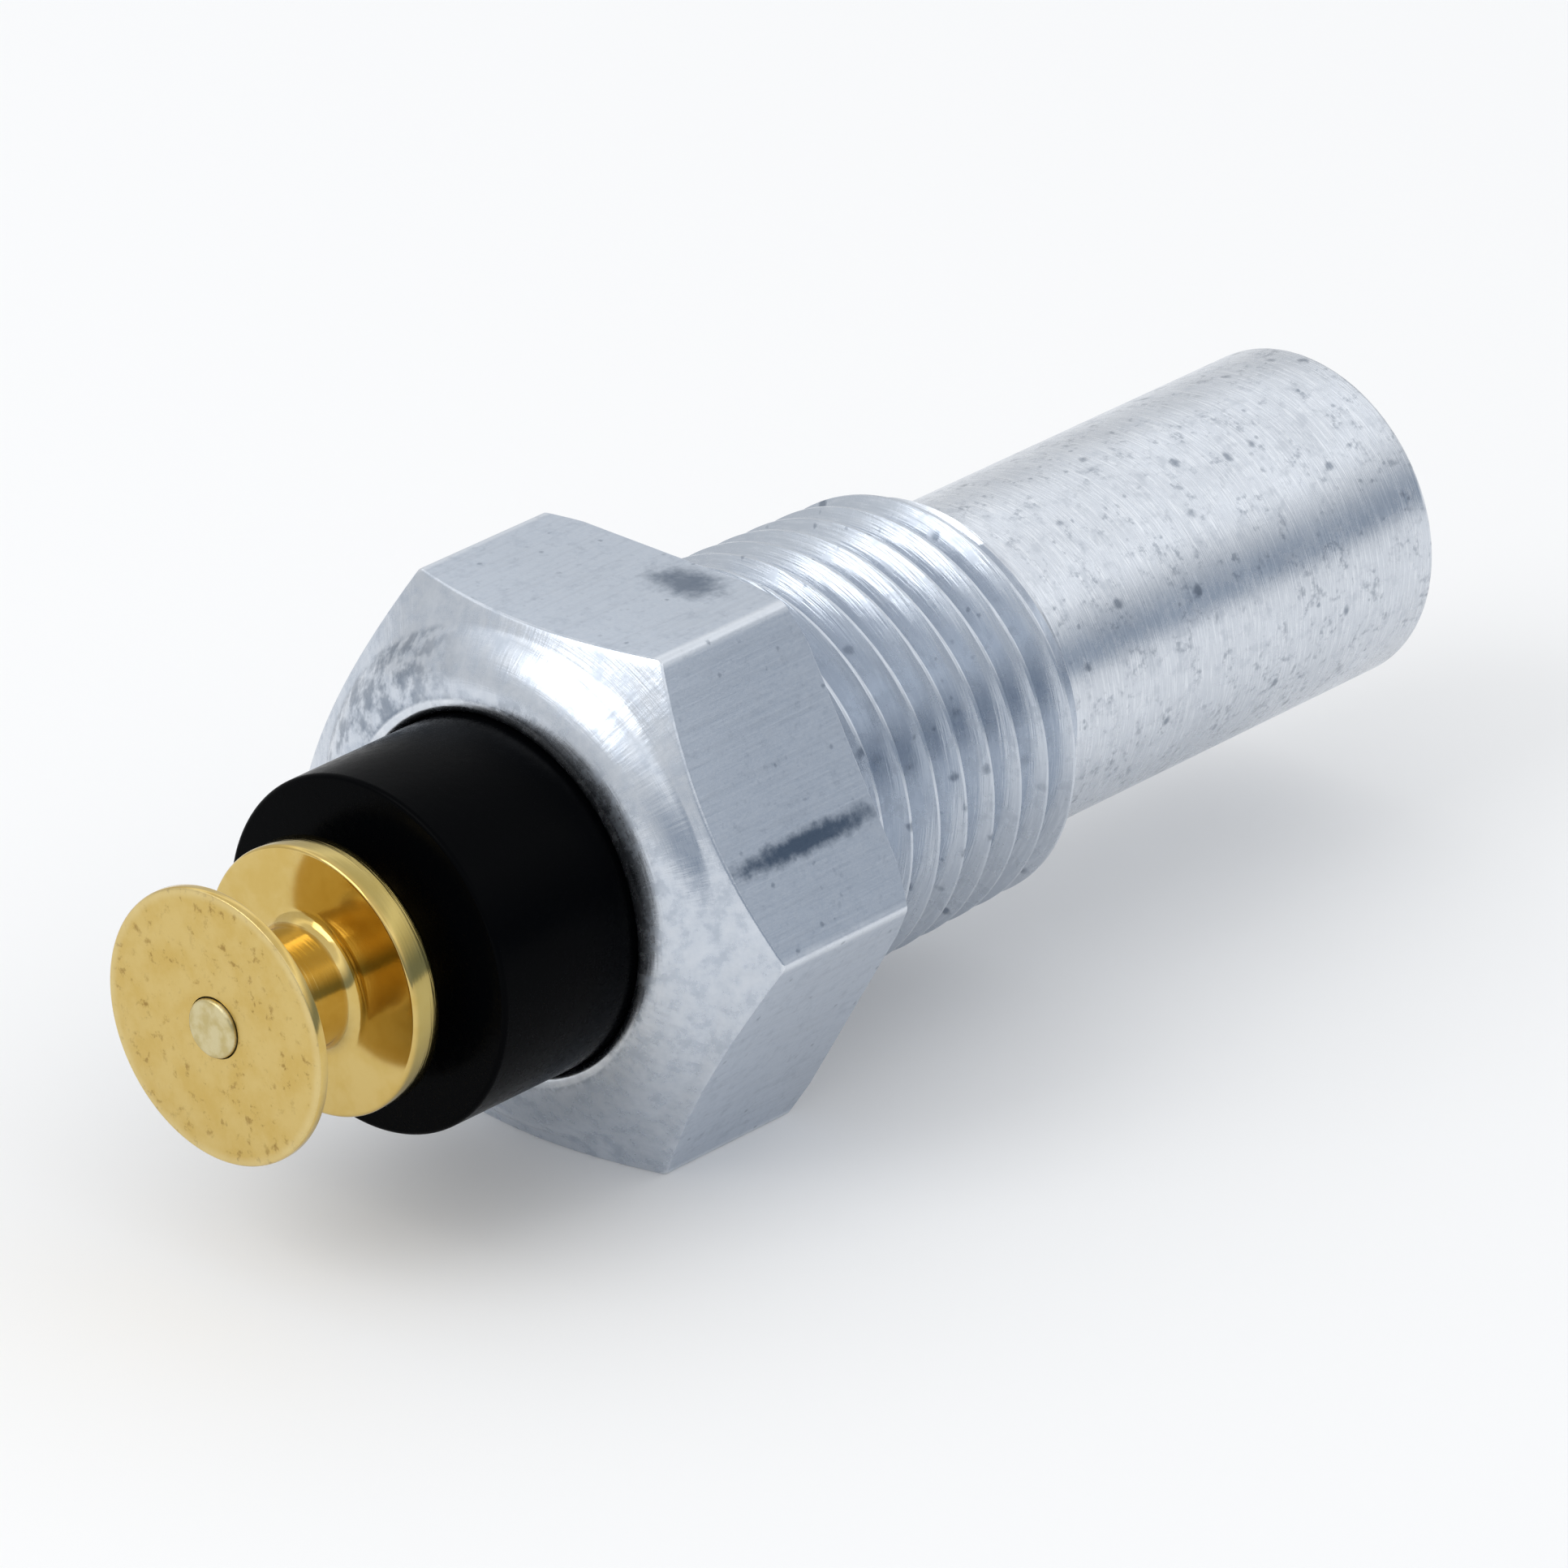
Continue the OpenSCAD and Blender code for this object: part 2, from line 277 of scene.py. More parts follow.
def thread_tree():
    tree = bpy.data.node_groups.new("tapered_thread", "GeometryNodeTree")
    face = tree.interface
    face.new_socket("Geometry", in_out="OUTPUT", socket_type="NodeSocketGeometry")
    for name in THREAD_INPUTS:
        face.new_socket(name, in_out="INPUT", socket_type="NodeSocketFloat")
    face.new_socket("Rows", in_out="INPUT", socket_type="NodeSocketInt")
    face.new_socket("Columns", in_out="INPUT", socket_type="NodeSocketInt")
    face.new_socket("Material", in_out="INPUT", socket_type="NodeSocketMaterial")
    t = Tree(tree)
    m = t.math
    given = t.node("NodeGroupInput").outputs
    pitch, length, depth = given["Pitch"], given["Length"], given["Depth"]
    small_r, probe_r = given["Small radius"], given["Probe radius"]

    grid = t.node("GeometryNodeMeshGrid")
    t.put(1, grid.inputs["Size X"])
    t.put(1, grid.inputs["Size Y"])
    t.put(given["Rows"], grid.inputs["Vertices X"])
    t.put(given["Columns"], grid.inputs["Vertices Y"])
    place = t.node("ShaderNodeSeparateXYZ")
    t.put(t.node("GeometryNodeInputPosition").outputs[0], place.inputs[0])
    along = m("ADD", place.outputs["X"], 0.5)
    around = m("ADD", place.outputs["Y"], 0.5)

    helix = m("SUBTRACT", m("MULTIPLY", along, given["Turns"]), 2 + 0.5 / ROWS_PER_PITCH)
    raw_x = m("ADD", m("MULTIPLY", m("ADD", helix, around), pitch), given["Phase"])
    lead_run = m("DIVIDE", m("SUBTRACT", small_r, probe_r), given["Lead slope"])
    x = m("MAXIMUM", m("MINIMUM", raw_x, m("ADD", length, lead_run)), 0)

    turn = m("SUBTRACT", m("DIVIDE", m("SUBTRACT", x, given["Phase"]), pitch), around)
    to_crest = m("ABSOLUTE", m("SUBTRACT", m("FRACT", m("ADD", turn, 100.5)), 0.5))
    past_crest = m("MULTIPLY", m("SUBTRACT", to_crest, 0.5 / ROWS_PER_PITCH), pitch)
    fall = m("MULTIPLY", m("MAXIMUM", past_crest, 0), 1 / FLANK)
    height = m("MAXIMUM", m("SUBTRACT", depth, fall), 0)
    left = m("SUBTRACT", length, x)
    root = m("SUBTRACT", m("ADD", small_r, m("MULTIPLY", left, given["Taper"])), depth)
    lead = m("ADD", small_r, m("MULTIPLY", left, given["Lead slope"]))
    radius = m("MAXIMUM", m("MINIMUM", m("ADD", root, height), lead), probe_r)

    angle = m("MULTIPLY", around, 2 * math.pi)
    rolled = t.node("ShaderNodeCombineXYZ")
    t.put(m("MULTIPLY", x, MM), rolled.inputs["X"])
    t.put(m("MULTIPLY", m("MULTIPLY", radius, m("SINE", angle)), -MM), rolled.inputs["Y"])
    t.put(m("MULTIPLY", m("MULTIPLY", radius, m("COSINE", angle)), MM), rolled.inputs["Z"])
    moved = t.node("GeometryNodeSetPosition")
    t.put(grid.outputs["Mesh"], moved.inputs["Geometry"])
    t.put(rolled.outputs[0], moved.inputs["Position"])
    real = t.node("GeometryNodeRealizeInstances")
    t.put(moved.outputs[0], real.inputs[0])
    skin = t.node("GeometryNodeSetMaterial")
    t.put(real.outputs[0], skin.inputs["Geometry"])
    t.put(given["Material"], skin.inputs["Material"])
    t.put(skin.outputs[0], t.node("NodeGroupOutput").inputs[0])
    return tree


def evaluated_mesh(name, tree, values):
    """Runs a node tree on an empty mesh and returns the result as plain mesh data."""
    holder = bpy.data.objects.new(name + "_holder", bpy.data.meshes.new(name))
    scene.collection.objects.link(holder)
    modifier = holder.modifiers.new(name, "NODES")
    modifier.node_group = tree
    for item in tree.interface.items_tree:
        if item.in_out == "INPUT" and item.name in values:
            modifier[item.identifier] = values[item.name]
    graph = bpy.context.evaluated_depsgraph_get()
    mesh = bpy.data.meshes.new_from_object(holder.evaluated_get(graph))
    holder.modifiers.remove(modifier)
    bpy.data.objects.remove(holder)
    return mesh


THREAD_RUN = THREAD_END + (THREAD_SMALL_R - PROBE_R) / LEAD_SLOPE
thread_turns = math.ceil(THREAD_RUN / THREAD_PITCH) + 3
aluminium = bpy.data.materials.new("bare_aluminium")
thread_mesh = evaluated_mesh("thread", thread_tree(), {
    "Small radius": THREAD_SMALL_R,
    "Length": THREAD_END,
    "Pitch": THREAD_PITCH,
    "Taper": THREAD_TAPER,
    "Depth": THREAD_DEPTH,
    "Phase": THREAD_PHASE,
    "Lead slope": float(LEAD_SLOPE),
    "Probe radius": PROBE_R,
    "Turns": float(thread_turns),
    "Rows": thread_turns * ROWS_PER_PITCH + 1,
    "Columns": ROUND_STEPS + 1,
    "Material": aluminium,
})
print("thread band faces", len(thread_mesh.polygons), "run", round(THREAD_RUN, 2))

# %% [markdown]
# The body is one piece of bar, so it is one closed mesh.
# Its rings run from the floor of the bore, out over the lip, down the crown and the hexagon, to the tip.
# Round the hexagon the columns crowd at the six corners, where a small rounding catches the light as a thin line.
# The last ring before the thread takes its radii from the thread's own first row, so the two weld without a gap.

# %% Body
def hexagon_columns():
    """Angles of the columns, evenly spaced but drawn in close to the six corners."""
    step = 360 / ROUND_STEPS
    close = {0: 0, 1: 0.25, 2: 0.5, 3: 0.75, 4: 2.0, 5: 4.5}
    out = []
    for k in range(ROUND_STEPS):
        angle = k * step
        corner = round((angle - 30) / 60) * 60 + 30
        offset = round((angle - corner) / step)
        if abs(offset) in close:
            angle = corner + math.copysign(close[abs(offset)], offset)
        out.append(math.radians(angle))
    return out


def hexagon_r(angle, half=HEX_HALF, rounding=CORNER_ROUND):
    """Radius of the rounded hexagon at an angle."""
    past = math.radians((math.degrees(angle) - 30 + 30) % 60 - 30)
    centre = (half - rounding) / math.cos(math.radians(30))
    tangent = math.atan2(rounding / 2, centre + rounding * math.cos(math.radians(30)))
    if abs(past) < tangent:
        return centre * math.cos(past) + math.sqrt(rounding**2 - (centre * math.sin(past)) ** 2)
    return half / math.cos(math.radians(30) - abs(past))


def bulged(start, end, bulge, steps):
    """Points of an arc from start to end that stands out by the bulge, away from the part."""
    (x0, r0), (x1, r1) = start, end
    chord = math.hypot(x1 - x0, r1 - r0)
    radius = chord * chord / 8 / bulge + bulge / 2
    out_x, out_r = -(r1 - r0) / chord, (x1 - x0) / chord
    cx = (x0 + x1) / 2 - out_x * (radius - bulge)
    cr = (r0 + r1) / 2 - out_r * (radius - bulge)
    first = math.degrees(math.atan2(r0 - cr, x0 - cx)) % 360
    last = math.degrees(math.atan2(r1 - cr, x1 - cx)) % 360
    return arc(cx, cr, radius, first, last, steps)


def chamfer_x(r):
    return -HEX_EDGE - (HEX_CORNER - r) * math.tan(CORNER_ANGLE)


def crown_rings(steps=5, rounding=0.16):
    """Rings over the rolled crimp and down the corner chamfer, with a small rounding at the arches."""
    turn = math.radians(90) - CORNER_ANGLE
    tangent = rounding * math.tan(turn / 2)
    cone = (math.sin(CORNER_ANGLE), math.cos(CORNER_ANGLE))

    def cone_point(share):
        def place(angle):
            end_r = hexagon_r(angle) - tangent * cone[1]
            r = CRIMP_R + (end_r - CRIMP_R) * share
            return chamfer_x(r), r
        return place

    def round_point(share):
        def place(angle):
            edge_r = hexagon_r(angle)
            ahead = rounding * math.sin(turn * share) - tangent
            inward = rounding * (1 - math.cos(turn * share))
            x = chamfer_x(edge_r) + ahead * cone[0] + inward * cone[1]
            return x, edge_r + ahead * cone[1] - inward * cone[0]
        return place

    crimp = bulged((-CROWN_TOP, LIP_R + LIP_ROUND), (-CRIMP_FOOT, CRIMP_R), CRIMP_BULGE, 16)
    out = crimp[:-1]
    out += [cone_point(i / steps) for i in range(steps + 1)]
    out += [round_point(i / 4) for i in range(1, 5)]
    return out


def rear_rings():
    """Rings at the rear chamfer, where the corners are turned away at the hexagon's rear face."""
    def chamfer_start(angle):
        r = hexagon_r(angle)
        return min(-(REAR_CHAMFER - (HEX_CORNER - r) / 2), -0.001), r

    def chamfer_end(angle):
        return 0, min(hexagon_r(angle), HEX_CORNER - 2 * REAR_CHAMFER)

    def middle(angle):
        return -HEX_EDGE / 2, hexagon_r(angle)

    return [middle, chamfer_start, chamfer_end]


def thread_start_radii():
    """The thread's radii at the hexagon's rear face, by column."""
    radii = {}
    for vertex in thread_mesh.vertices:
        x, y, z = vertex.co / MM
        if x < 0.0005:
            column = round(math.degrees(math.atan2(-y, z)) * ROUND_STEPS / 360) % ROUND_STEPS
            radii[column] = math.hypot(y, z)
    return radii


def make_body():
    hex_angles = hexagon_columns()
    round_angles = [2 * math.pi * k / ROUND_STEPS for k in range(ROUND_STEPS)]
    start = thread_start_radii()
    inner = [(BORE_FLOOR, 0), (BORE_FLOOR, BORE_R / 2), (BORE_FLOOR, BORE_R), (-POCKET_FLOOR, BORE_R)]
    inner += [(-POCKET_FLOOR, POCKET_R), (-LIP_UNDER, POCKET_R), (-LIP_UNDER, LIP_R)]
    inner += arc(-CROWN_TOP + LIP_ROUND, LIP_R + LIP_ROUND, LIP_ROUND, 270, 180)
    rings = [ring(p, hex_angles) for p in inner[:-1]]
    rings += [ring(p, hex_angles) for p in crown_rings()]
    rings += [ring(p, hex_angles) for p in rear_rings()]
    rings.append(ring((0, 9.2), hex_angles))
    rings.append([
        (0, -start[k] * math.sin(a) * MM, start[k] * math.cos(a) * MM) for k, a in enumerate(round_angles)
    ])
    shell = plain_mesh("shell", *join_rings(rings))
    probe = [(THREAD_RUN, PROBE_R)]
    probe += [(THREAD_RUN + (PROBE_TIP - PROBE_CHAMFER - THREAD_RUN) * i / 6, PROBE_R) for i in range(1, 7)]
    probe += arc(PROBE_TIP - PROBE_CHAMFER, PROBE_R - PROBE_CHAMFER, PROBE_CHAMFER, 90, 0, 4)[1:]
    probe += [(PROBE_TIP, 3.2), (PROBE_TIP, 0)]
    tip = plain_mesh("tip", *join_rings([ring(p, round_angles) for p in probe]))
    return finish_mesh("sender_body", [shell, thread_mesh, tip])


body = make_body()

# %% [markdown]
# The black bush is a moulding, so its front edge is rounded as moulds leave it.
# Its flange under the lip and its inner neck are out of sight, but they are kept so that the piece stays whole.

# %% Insulating bush
bush_low, bush_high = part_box("insulating_bush")
BUSH_FRONT = bush_low[0] / MM
BUSH_ROUND = 0.2
RIVET_HOLE = 1.15
FLANGE_UNDER = -4.3
bush_outline = [(BUSH_FRONT, RIVET_HOLE), (BUSH_FRONT, 3.5)]
bush_outline += arc(BUSH_FRONT + BUSH_ROUND, BUSH_R - BUSH_ROUND, BUSH_ROUND, 180, 90, 8)
bush_outline += [(-LIP_UNDER, BUSH_R), (-LIP_UNDER, POCKET_R - 0.05), (FLANGE_UNDER, POCKET_R - 0.05)]
bush_outline += [(FLANGE_UNDER, 3.9), (bush_high[0] / MM, 3.9), (bush_high[0] / MM, RIVET_HOLE)]
bush = turned("bush", bush_outline)

# %% [markdown]
# The terminal is turned from brass: a thin front disc and a thicker rear disc on one neck, for a clip between them.
# The hollow corners at the neck are rounded, and they gather the amber reflections that polished brass shows.

# %% Spool terminal
terminal_low, terminal_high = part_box("spool_terminal")
FRONT_FACE = terminal_low[0] / MM
FRONT_BACK = FRONT_FACE + 0.4
NECK_R = 2.2
HOLLOW = 0.6
REAR_FACE = FRONT_BACK + 4.35
REAR_BACK = REAR_FACE + 1.3
FRONT_R = 5.1
REAR_R = 5.0
terminal_outline = [(FRONT_FACE, RIVET_HOLE), (FRONT_FACE, 3)]
terminal_outline += arc(FRONT_FACE + 0.12, FRONT_R - 0.12, 0.12, 180, 90, 4)
terminal_outline += arc(FRONT_BACK - 0.08, FRONT_R - 0.08, 0.08, 90, 0, 3)
terminal_outline += arc(FRONT_BACK + HOLLOW, NECK_R + HOLLOW, HOLLOW, 180, 270, 8)
terminal_outline += arc(REAR_FACE - HOLLOW, NECK_R + HOLLOW, HOLLOW, 270, 360, 8)
terminal_outline += arc(REAR_FACE + 0.15, REAR_R - 0.15, 0.15, 180, 90, 4)
terminal_outline += arc(REAR_BACK - 0.15, REAR_R - 0.15, 0.15, 90, 0, 4)
terminal_outline += [(REAR_BACK, 3.4), (BUSH_FRONT, 3.4), (BUSH_FRONT, RIVET_HOLE)]
terminal = turned("terminal", terminal_outline)

# %% [markdown]
# The rivet carries the current through the bush.
# Its outer end is filed flat and shows as a pale round spot in the middle of the front disc.

# %% Terminal rivet
rivet_low, rivet_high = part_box("terminal_rivet")
RIVET_FACE = rivet_low[0] / MM
RIVET_END = rivet_high[0] / MM
RIVET_HEAD = RIVET_END - 0.7
RIVET_R = 1.1
rivet_outline = [(RIVET_FACE, 0), (RIVET_FACE, 0.6)]
rivet_outline += arc(RIVET_FACE + 0.15, RIVET_R - 0.15, 0.15, 180, 90, 5)
rivet_outline += [(RIVET_HEAD, RIVET_R), (RIVET_HEAD, 1.9), (RIVET_END - 0.15, 1.9), (RIVET_END, 1.75), (RIVET_END, 0)]
rivet = turned("rivet", rivet_outline, 96)

# %% [markdown]
# Finishes are built from nodes on the object's own coordinates, in metres, so they stay put when the camera moves.
# Each one starts from a Principled shader whose plain values are set on its sockets.
# Noise stretched along one way gives the fine marks that a lathe or a drawing die leaves.

# %% Finish helpers
class Finish(Tree):
    """A Principled material under construction."""

    def __init__(self, name, color, metallic, roughness, material=None):
        material = material or bpy.data.materials.new(name)
        material.use_nodes = True
        super().__init__(material.node_tree)
        self.material = material
        self.shader = self.tree.nodes["Principled BSDF"]
        self.shader.inputs["Base Color"].default_value = (*color, 1)
        self.shader.inputs["Metallic"].default_value = metallic
        self.shader.inputs["Roughness"].default_value = roughness
        coordinates = self.node("ShaderNodeTexCoord").outputs["Object"]
        self.mm = self.node("ShaderNodeVectorMath", operation="SCALE")
        self.put(coordinates, self.mm.inputs[0])
        self.put(1 / MM, self.mm.inputs["Scale"])
        self.mm = self.mm.outputs[0]
        split = self.node("ShaderNodeSeparateXYZ")
        self.put(self.mm, split.inputs[0])
        self.x, self.y, self.z = split.outputs
        squares = [self.math("MULTIPLY", v, v) for v in (self.y, self.z)]
        self.r = self.math("SQRT", self.math("ADD", *squares))

    def vector(self, x, y, z):
        node = self.node("ShaderNodeCombineXYZ")
        for socket, value in zip(node.inputs, (x, y, z)):
            self.put(value, socket)
        return node.outputs[0]

    def noise(self, vector, scale, detail=3, roughness=0.5, stretch=None, seed=0):
        """Noise from 0 to 1; stretch scales the three ways, and seed shifts the pattern."""
        if stretch or seed:
            mapping = self.node("ShaderNodeMapping")
            self.put(vector, mapping.inputs["Vector"])
            mapping.inputs["Location"].default_value = (seed * 13.7, seed * 7.3, seed * 3.1)
            mapping.inputs["Scale"].default_value = stretch or (1, 1, 1)
            vector = mapping.outputs[0]
        node = self.node("ShaderNodeTexNoise")
        self.put(vector, node.inputs["Vector"])
        node.inputs["Scale"].default_value = scale
        node.inputs["Detail"].default_value = detail
        node.inputs["Roughness"].default_value = roughness
        return node.outputs["Fac"]

    def dots(self, scale, size, share, seed=0):
        """Scattered round spots from 0 to 1; size is a share of their spacing, share is how many places have one."""
        wobble = self.node("ShaderNodeVectorMath", operation="ADD")
        place = self.node("ShaderNodeMapping")
        self.put(self.mm, place.inputs["Vector"])
        place.inputs["Location"].default_value = (seed * 5.3, seed * 9.1, seed * 2.7)
        self.put(place.outputs[0], wobble.inputs[0])
        rough = self.node("ShaderNodeTexNoise")
        rough.inputs["Scale"].default_value = scale * 4
        self.put(self.mm, rough.inputs["Vector"])
        small = self.node("ShaderNodeVectorMath", operation="SCALE")
        self.put(rough.outputs["Color"], small.inputs[0])
        small.inputs["Scale"].default_value = 1.3 * size / scale
        self.put(small.outputs[0], wobble.inputs[1])
        cells = self.node("ShaderNodeTexVoronoi")
        cells.inputs["Scale"].default_value = scale
        self.put(wobble.outputs[0], cells.inputs["Vector"])
        pick = self.node("ShaderNodeSeparateColor")
        self.put(cells.outputs["Color"], pick.inputs[0])
        chosen = self.step(pick.outputs[0], 1 - share, 1 - share + 0.1)
        return self.math("MULTIPLY", self.step(cells.outputs["Distance"], size * 0.3, size * 1.1, 1, 0), chosen)

    def smudge(self, centre, size, ragged=0.6, grain=1.8):
        """One ragged patch from 0 to 1, round a point, with a half size along each axis."""
        place = self.node("ShaderNodeMapping")
        self.put(self.mm, place.inputs["Vector"])
        place.inputs["Location"].default_value = [-c / w for c, w in zip(centre, size)]
        place.inputs["Scale"].default_value = [1 / w for w in size]
        reach = self.node("ShaderNodeVectorMath", operation="LENGTH")
        self.put(place.outputs[0], reach.inputs[0])
        noise = self.noise(self.mm, grain, 4, 0.65, None, centre[0])
        edge = self.math("ADD", reach.outputs["Value"], self.math("MULTIPLY", self.math("SUBTRACT", noise, 0.5), ragged * 4))
        return self.step(edge, 0.3, 1.3, 1, 0)

    def mix(self, share, first, second):
        """Colour mix; each colour is a tuple or a socket."""
        node = self.node("ShaderNodeMix", data_type="RGBA")
        for socket, value in ((node.inputs[0], share), (node.inputs[6], first), (node.inputs[7], second)):
            self.put((*value, 1) if isinstance(value, tuple) else value, socket)
        return node.outputs[2]

    def bump(self, height, distance, strength=1.0):
        node = self.node("ShaderNodeBump")
        node.inputs["Strength"].default_value = strength
        node.inputs["Distance"].default_value = distance * MM
        self.put(height, node.inputs["Height"])
        self.put(node.outputs[0], self.shader.inputs["Normal"])

    def set(self, **values):
        for name, value in values.items():
            self.put(value, self.shader.inputs[name.replace("_", " ")])


def dress(obj, finish, slot_name, *nodes):
    """Gives a piece its material, its place on the frame and the CAD nodes it stands for."""
    obj.data.materials.clear()
    obj.data.materials.append(finish.material)
    if nodes:
        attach(obj, "root")
        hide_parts(*nodes)


# %% [markdown]
# Bare aluminium, as it leaves the lathe and then lies about.
# The cone and the round parts carry fine rings from turning, and the flats carry straight marks along the bar.
# Over that come cloudy stains, dark specks on the probe and a few scratches, each kept to its own place by a mask.

# %% Bare aluminium
ALUMINIUM = (0.67, 0.71, 0.77)
OXIDE = (0.49, 0.545, 0.625)
GRIME = (0.075, 0.11, 0.165)


def place_masks(f):
    """Where the turned crown is, and where the six drawn flats are."""
    m = f.math
    chamfer_slope = math.tan(CORNER_ANGLE)
    above_cone = m("SUBTRACT", m("MULTIPLY", f.x, -1), HEX_EDGE + HEX_CORNER * chamfer_slope)
    crown_depth = m("ADD", above_cone, m("MULTIPLY", f.r, chamfer_slope))
    crown = f.step(crown_depth, -0.1, -0.04)
    hexagon = m("MULTIPLY", f.step(f.x, -0.02, -0.01, 1, 0), f.step(f.r, 9.0, 9.1))
    return crown, m("MULTIPLY", hexagon, m("SUBTRACT", 1, crown))


def facing(f, angle, low, high):
    """Share from 0 to 1 of how near a point is to one angle round the axis."""
    m = f.math
    turn = math.radians(angle)
    along = m("ADD", m("MULTIPLY", f.y, -math.sin(turn)), m("MULTIPLY", f.z, math.cos(turn)))
    return f.step(m("DIVIDE", along, f.r), math.cos(math.radians(low)), math.cos(math.radians(high)))


def grime_marks(f, crown, flats):
    """The dark marks, each in its place: (share, strength)."""
    m = f.math
    speck = f.noise(f.mm, 2.6, 3, 0.65, None, 5)
    cloud = f.noise(f.mm, 0.8, 3, 0.65, None, 4)
    blotch = f.noise(f.mm, 1.3, 3, 0.6, None, 9)
    probe = f.step(f.x, THREAD_RUN - 0.3, THREAD_RUN + 0.3)
    thread = m("MULTIPLY", f.step(f.x, 0.1, 0.6), f.step(f.x, THREAD_END - 0.6, THREAD_END + 0.2, 1, 0))
    rolled = m("MULTIPLY", crown, f.step(f.r, CRIMP_R - 0.1, CRIMP_R + 0.15, 1, 0))
    lip = f.step(f.r, 7.0, 7.5, 1, 0)
    on_right = f.step(f.y, -8.8, -8.6, 1, 0)
    scratch = f.smudge((-3.6, -9.7, 3.2), (4.4, 1.6, 0.42), 0.3, 2.2)
    yield m("MULTIPLY", m("ADD", probe, thread, clamp=True), f.dots(0.62, 0.17, 0.75, 1)), 0.6
    yield m("MULTIPLY", m("SUBTRACT", 1, crown), f.dots(1.4, 0.17, 0.35, 2)), 0.42
    yield m("MULTIPLY", probe, m("MULTIPLY", f.step(speck, 0.48, 0.68), f.step(cloud, 0.46, 0.62))), 0.42
    yield m("MULTIPLY", flats, f.smudge((-1.4, -2.1, 10), (1.1, 1.7, 1), 0.3)), 0.8
    yield m("MULTIPLY", flats, m("MULTIPLY", on_right, scratch)), 0.95
    yield m("MULTIPLY", flats, f.step(speck, 0.55, 0.75)), 0.16
    yield m("MULTIPLY", m("MULTIPLY", crown, lip), f.step(speck, 0.4, 0.56)), 0.6
    yield m("MULTIPLY", rolled, m("MULTIPLY", facing(f, -55, 45, 15), f.step(blotch, 0.4, 0.62))), 0.6


def make_aluminium():
    f = Finish("bare_aluminium", ALUMINIUM, 1, 0.26, aluminium)
    m = f.math
    crown, flats = place_masks(f)
    turned_share = m("SUBTRACT", 1, flats)
    rings = f.noise(f.mm, 1, 2, 0.6, (7, 0.2, 0.2))
    fine_rings = f.noise(f.mm, 1, 2, 0.6, (26, 0.5, 0.5), 1)
    streaks = f.noise(f.mm, 1, 3, 0.65, (14, 0.9, 0.9), 6)
    draw = f.noise(f.mm, 1, 3, 0.6, (0.2, 5, 5), 2)
    cloud = f.noise(f.mm, 0.35, 3, 0.6, None, 3)
    patch = f.noise(f.mm, 1.5, 3, 0.65, None, 4)
    grain = f.noise(f.mm, 7, 2, 0.6, None, 8)
    per_r = m("DIVIDE", 24, f.r)
    spokes = f.noise(f.vector(m("MULTIPLY", f.r, 0.5), m("MULTIPLY", f.y, per_r), m("MULTIPLY", f.z, per_r)), 1, 3, 0.6)

    color = f.mix(f.step(cloud, 0.35, 0.65), tuple(v * 0.94 for v in ALUMINIUM), ALUMINIUM)
    bright = m("MULTIPLY", m("SUBTRACT", 1, m("MAXIMUM", flats, crown)), f.step(streaks, 0.46, 0.66))
    color = f.mix(m("MULTIPLY", bright, 0.5), color, (0.88, 0.91, 0.95))
    corner = m("MULTIPLY", f.step(f.r, HEX_CORNER - 0.2, HEX_CORNER - 0.08), f.step(f.x, 0, 0.01, 1, 0))
    worn = m("ADD", m("MULTIPLY", flats, 0.85), m("MULTIPLY", crown, f.step(patch, 0.3, 0.7, 0.1, 0.7)))
    worn = m("ADD", worn, m("MULTIPLY", f.step(f.x, 0.1, 0.6), f.step(f.x, THREAD_END - 0.6, THREAD_END, 0.55, 0)))
    color = f.mix(worn, color, OXIDE)
    color = f.mix(m("MULTIPLY", flats, f.step(grain, 0.3, 0.7, 0, 0.35)), color, (0.60, 0.64, 0.70))
    color = f.mix(m("MULTIPLY", flats, f.step(draw, 0.45, 0.7, 0, 0.25)), color, (0.40, 0.44, 0.50))
    color = f.mix(m("MULTIPLY", f.step(patch, 0.5, 0.72), 0.22), color, (0.36, 0.40, 0.46))
    color = f.mix(m("MULTIPLY", corner, 0.5), color, (0.86, 0.89, 0.93))
    for share, strength in grime_marks(f, crown, flats):
        color = f.mix(m("MULTIPLY", share, strength), color, GRIME)
    f.set(Base_Color=color)

    roughness = m("ADD", 0.17, m("MULTIPLY", fine_rings, 0.12))
    roughness = m("ADD", roughness, m("MULTIPLY", flats, 0.12))
    f.set(Roughness=m("ADD", roughness, m("MULTIPLY", f.step(patch, 0.45, 0.7), 0.1)))

    turning = m("ADD", m("MULTIPLY", rings, 0.5), m("MULTIPLY", fine_rings, 0.5))
    turning = m("MULTIPLY", turning, m("SUBTRACT", turned_share, m("MULTIPLY", crown, 0.6)))
    relief = m("ADD", turning, m("MULTIPLY", flats, m("ADD", m("MULTIPLY", draw, 0.4), m("MULTIPLY", grain, 0.25))))
    relief = m("ADD", relief, m("MULTIPLY", m("MULTIPLY", spokes, crown), 0.9))
    f.bump(m("ADD", relief, m("MULTIPLY", patch, 0.3)), 0.016)
    return f


dress(body, make_aluminium(), "bare_aluminium", "body")

# %% [markdown]
# The moulding is near black with a soft sheen, and only a faint grain breaks up its highlight.

# %% Black moulding
def make_moulding():
    f = Finish("black_moulding", (0.001, 0.0012, 0.0016), 0, 0.26)
    grain = f.noise(f.mm, 3, 3)
    f.set(Roughness=f.step(grain, 0.3, 0.7, 0.2, 0.3))
    f.set(Specular_IOR_Level=0.02)
    f.bump(grain, 0.006)
    return f


dress(bush, make_moulding(), "black_moulding", "insulating_bush")

# %% [markdown]
# Brass has two finishes on one piece.
# Between the discs it is bright and mirrors its own walls, while the face of the front disc is satin and speckled.

